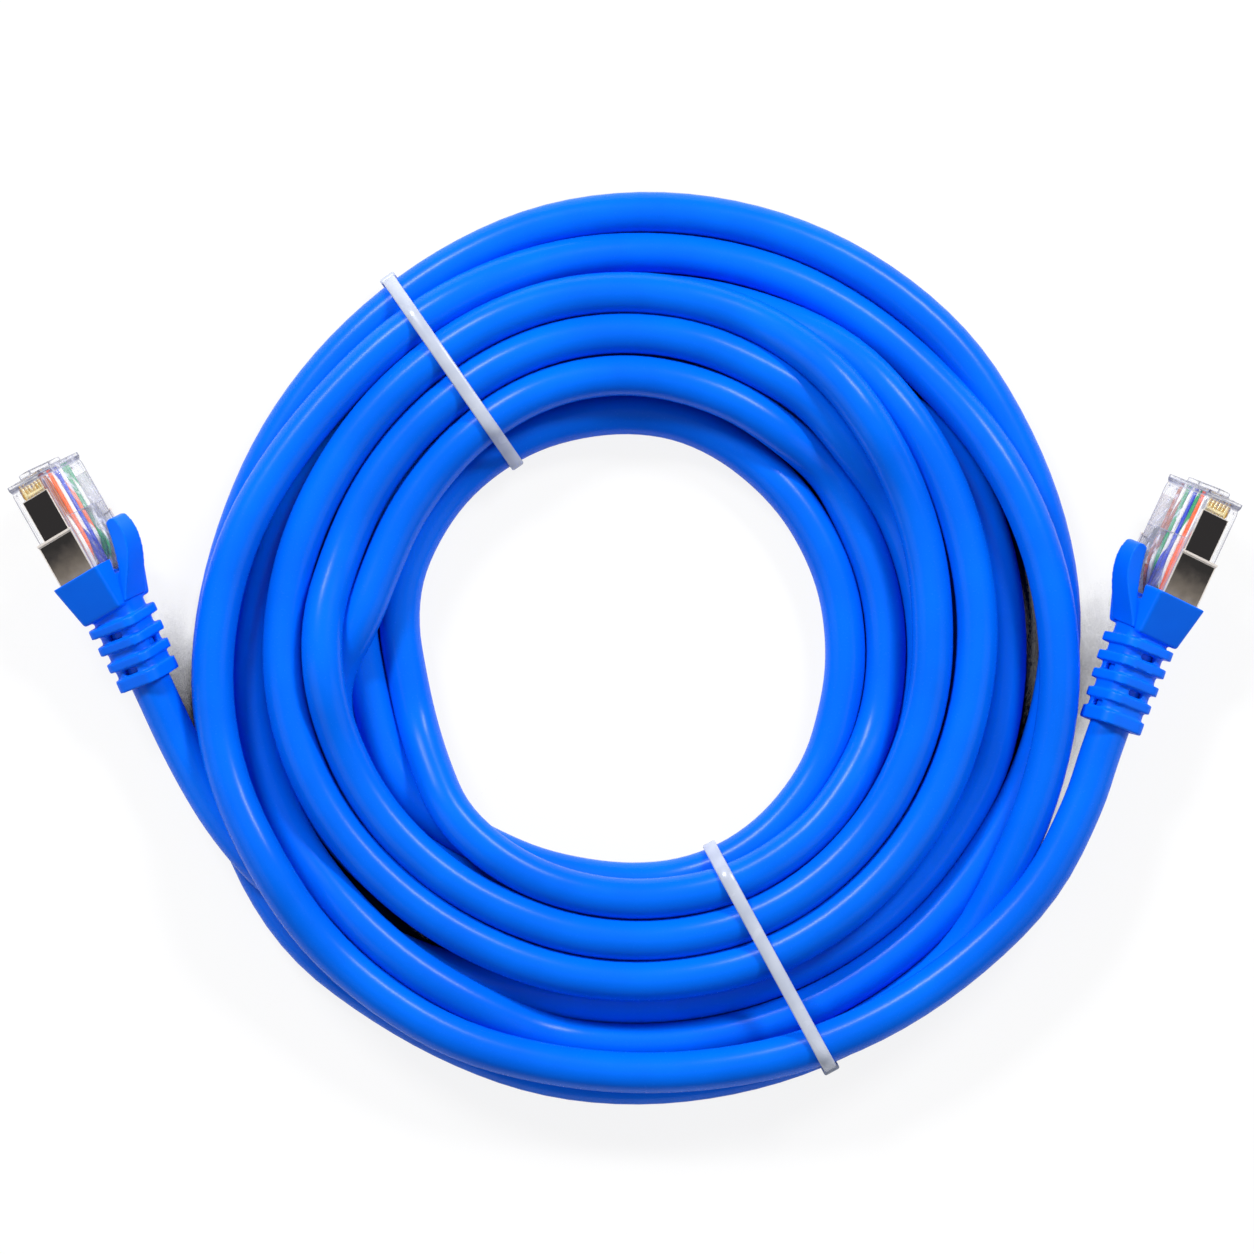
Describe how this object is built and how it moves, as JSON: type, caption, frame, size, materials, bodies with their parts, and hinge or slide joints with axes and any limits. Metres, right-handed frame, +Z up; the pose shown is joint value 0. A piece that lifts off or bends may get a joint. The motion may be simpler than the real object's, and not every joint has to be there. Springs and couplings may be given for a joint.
{
  "type": "ethernet patch cable",
  "caption": "Shielded round ethernet patch cord in a flat tied coil, with a clear modular plug, ribbed boot and curved latch guard on each end.",
  "frame": {"origin": "middle of the footprint, on the surface that the coil lies on", "axes": "+Z up from the surface; +X from the plug at end a to the plug at end b; +Y from where the cord's two ends cross to the far side of the coil"},
  "size_m": [0.181, 0.1328, 0.0161],
  "materials": {
    "jacket_blue": "bright blue PVC jacket, satin",
    "boot_blue": "bright blue moulded PVC, satin",
    "clear_plastic": "clear polycarbonate, polished",
    "clear_plastic_inner": "clear polycarbonate, as moulded",
    "nickel_sheet": "stamped sheet, nickel plated",
    "gold_contact": "gold-plated contact blade",
    "copper": "bare copper",
    "tinned_copper": "tinned copper wire",
    "foil": "thin shielding foil",
    "tie_white": "white nylon, glossy",
    "wire_orange": "orange insulation",
    "wire_white_orange": "white insulation with an orange stripe",
    "wire_green": "green insulation",
    "wire_white_green": "white insulation with a green stripe",
    "wire_blue": "blue insulation",
    "wire_white_blue": "white insulation with a blue stripe",
    "wire_brown": "brown insulation",
    "wire_white_brown": "white insulation with a brown stripe"
  },
  "bodies": {
    "cable": {"plug_a_housing": "clear_plastic", "plug_a_load_bar": "clear_plastic_inner", "plug_a_shield": "nickel_sheet", "plug_a_contacts": "gold_contact", "plug_a_foil": "foil", "plug_a_drain_wire": "tinned_copper", "plug_a_wire_cores": "copper", "plug_a_wire_white_green": "wire_white_green", "plug_a_wire_green": "wire_green", "plug_a_wire_white_orange": "wire_white_orange", "plug_a_wire_blue": "wire_blue", "plug_a_wire_white_blue": "wire_white_blue", "plug_a_wire_orange": "wire_orange", "plug_a_wire_white_brown": "wire_white_brown", "plug_a_wire_brown": "wire_brown", "boot_a_body": "boot_blue", "plug_b_housing": "clear_plastic", "plug_b_load_bar": "clear_plastic_inner", "plug_b_shield": "nickel_sheet", "plug_b_contacts": "gold_contact", "plug_b_foil": "foil", "plug_b_drain_wire": "tinned_copper", "plug_b_wire_cores": "copper", "plug_b_wire_white_green": "wire_white_green", "plug_b_wire_green": "wire_green", "plug_b_wire_white_orange": "wire_white_orange", "plug_b_wire_blue": "wire_blue", "plug_b_wire_white_blue": "wire_white_blue", "plug_b_wire_orange": "wire_orange", "plug_b_wire_white_brown": "wire_white_brown", "plug_b_wire_brown": "wire_brown", "boot_b_body": "boot_blue", "cord_coil": "jacket_blue", "cord_tail_a": "jacket_blue", "cord_tail_b": "jacket_blue", "tie_top": "tie_white", "tie_bottom": "tie_white"},
    "latch_a": {"plug_a_latch": "clear_plastic"},
    "latch_b": {"plug_b_latch": "clear_plastic"},
    "guard_a": {"boot_a_guard": "boot_blue"},
    "guard_b": {"boot_b_guard": "boot_blue"}
  },
  "joints": [
    {"name": "guard_a_press", "type": "hinge", "parent": "cable", "child": "guard_a", "pos_m": [-0.07255, 0.00835, 0.0099], "axis": [-0.443, -0.2507, 0.8607], "range_deg": [0, 9], "stiffness_Nm_per_rad": 0.05},
    {"name": "latch_a_flex", "type": "hinge", "parent": "cable", "child": "latch_a", "pos_m": [-0.08279, 0.02703, 0.01006], "axis": [0.443, 0.2507, -0.8607], "range_deg": [0, 5.7], "stiffness_Nm_per_rad": 0.05},
    {"name": "guard_b_press", "type": "hinge", "parent": "cable", "child": "guard_b", "pos_m": [0.07302, 0.00451, 0.0099], "axis": [-0.4613, 0.2151, -0.8607], "range_deg": [0, 9], "stiffness_Nm_per_rad": 0.05},
    {"name": "latch_b_flex", "type": "hinge", "parent": "cable", "child": "latch_b", "pos_m": [0.08177, 0.02393, 0.01006], "axis": [0.4613, -0.2151, 0.8607], "range_deg": [0, 5.7], "stiffness_Nm_per_rad": 0.05}
  ],
  "couplings": [
    {"joint": "latch_a_flex", "follows": "guard_a_press", "ratio": 0.62},
    {"joint": "latch_b_flex", "follows": "guard_b_press", "ratio": 0.62}
  ]
}
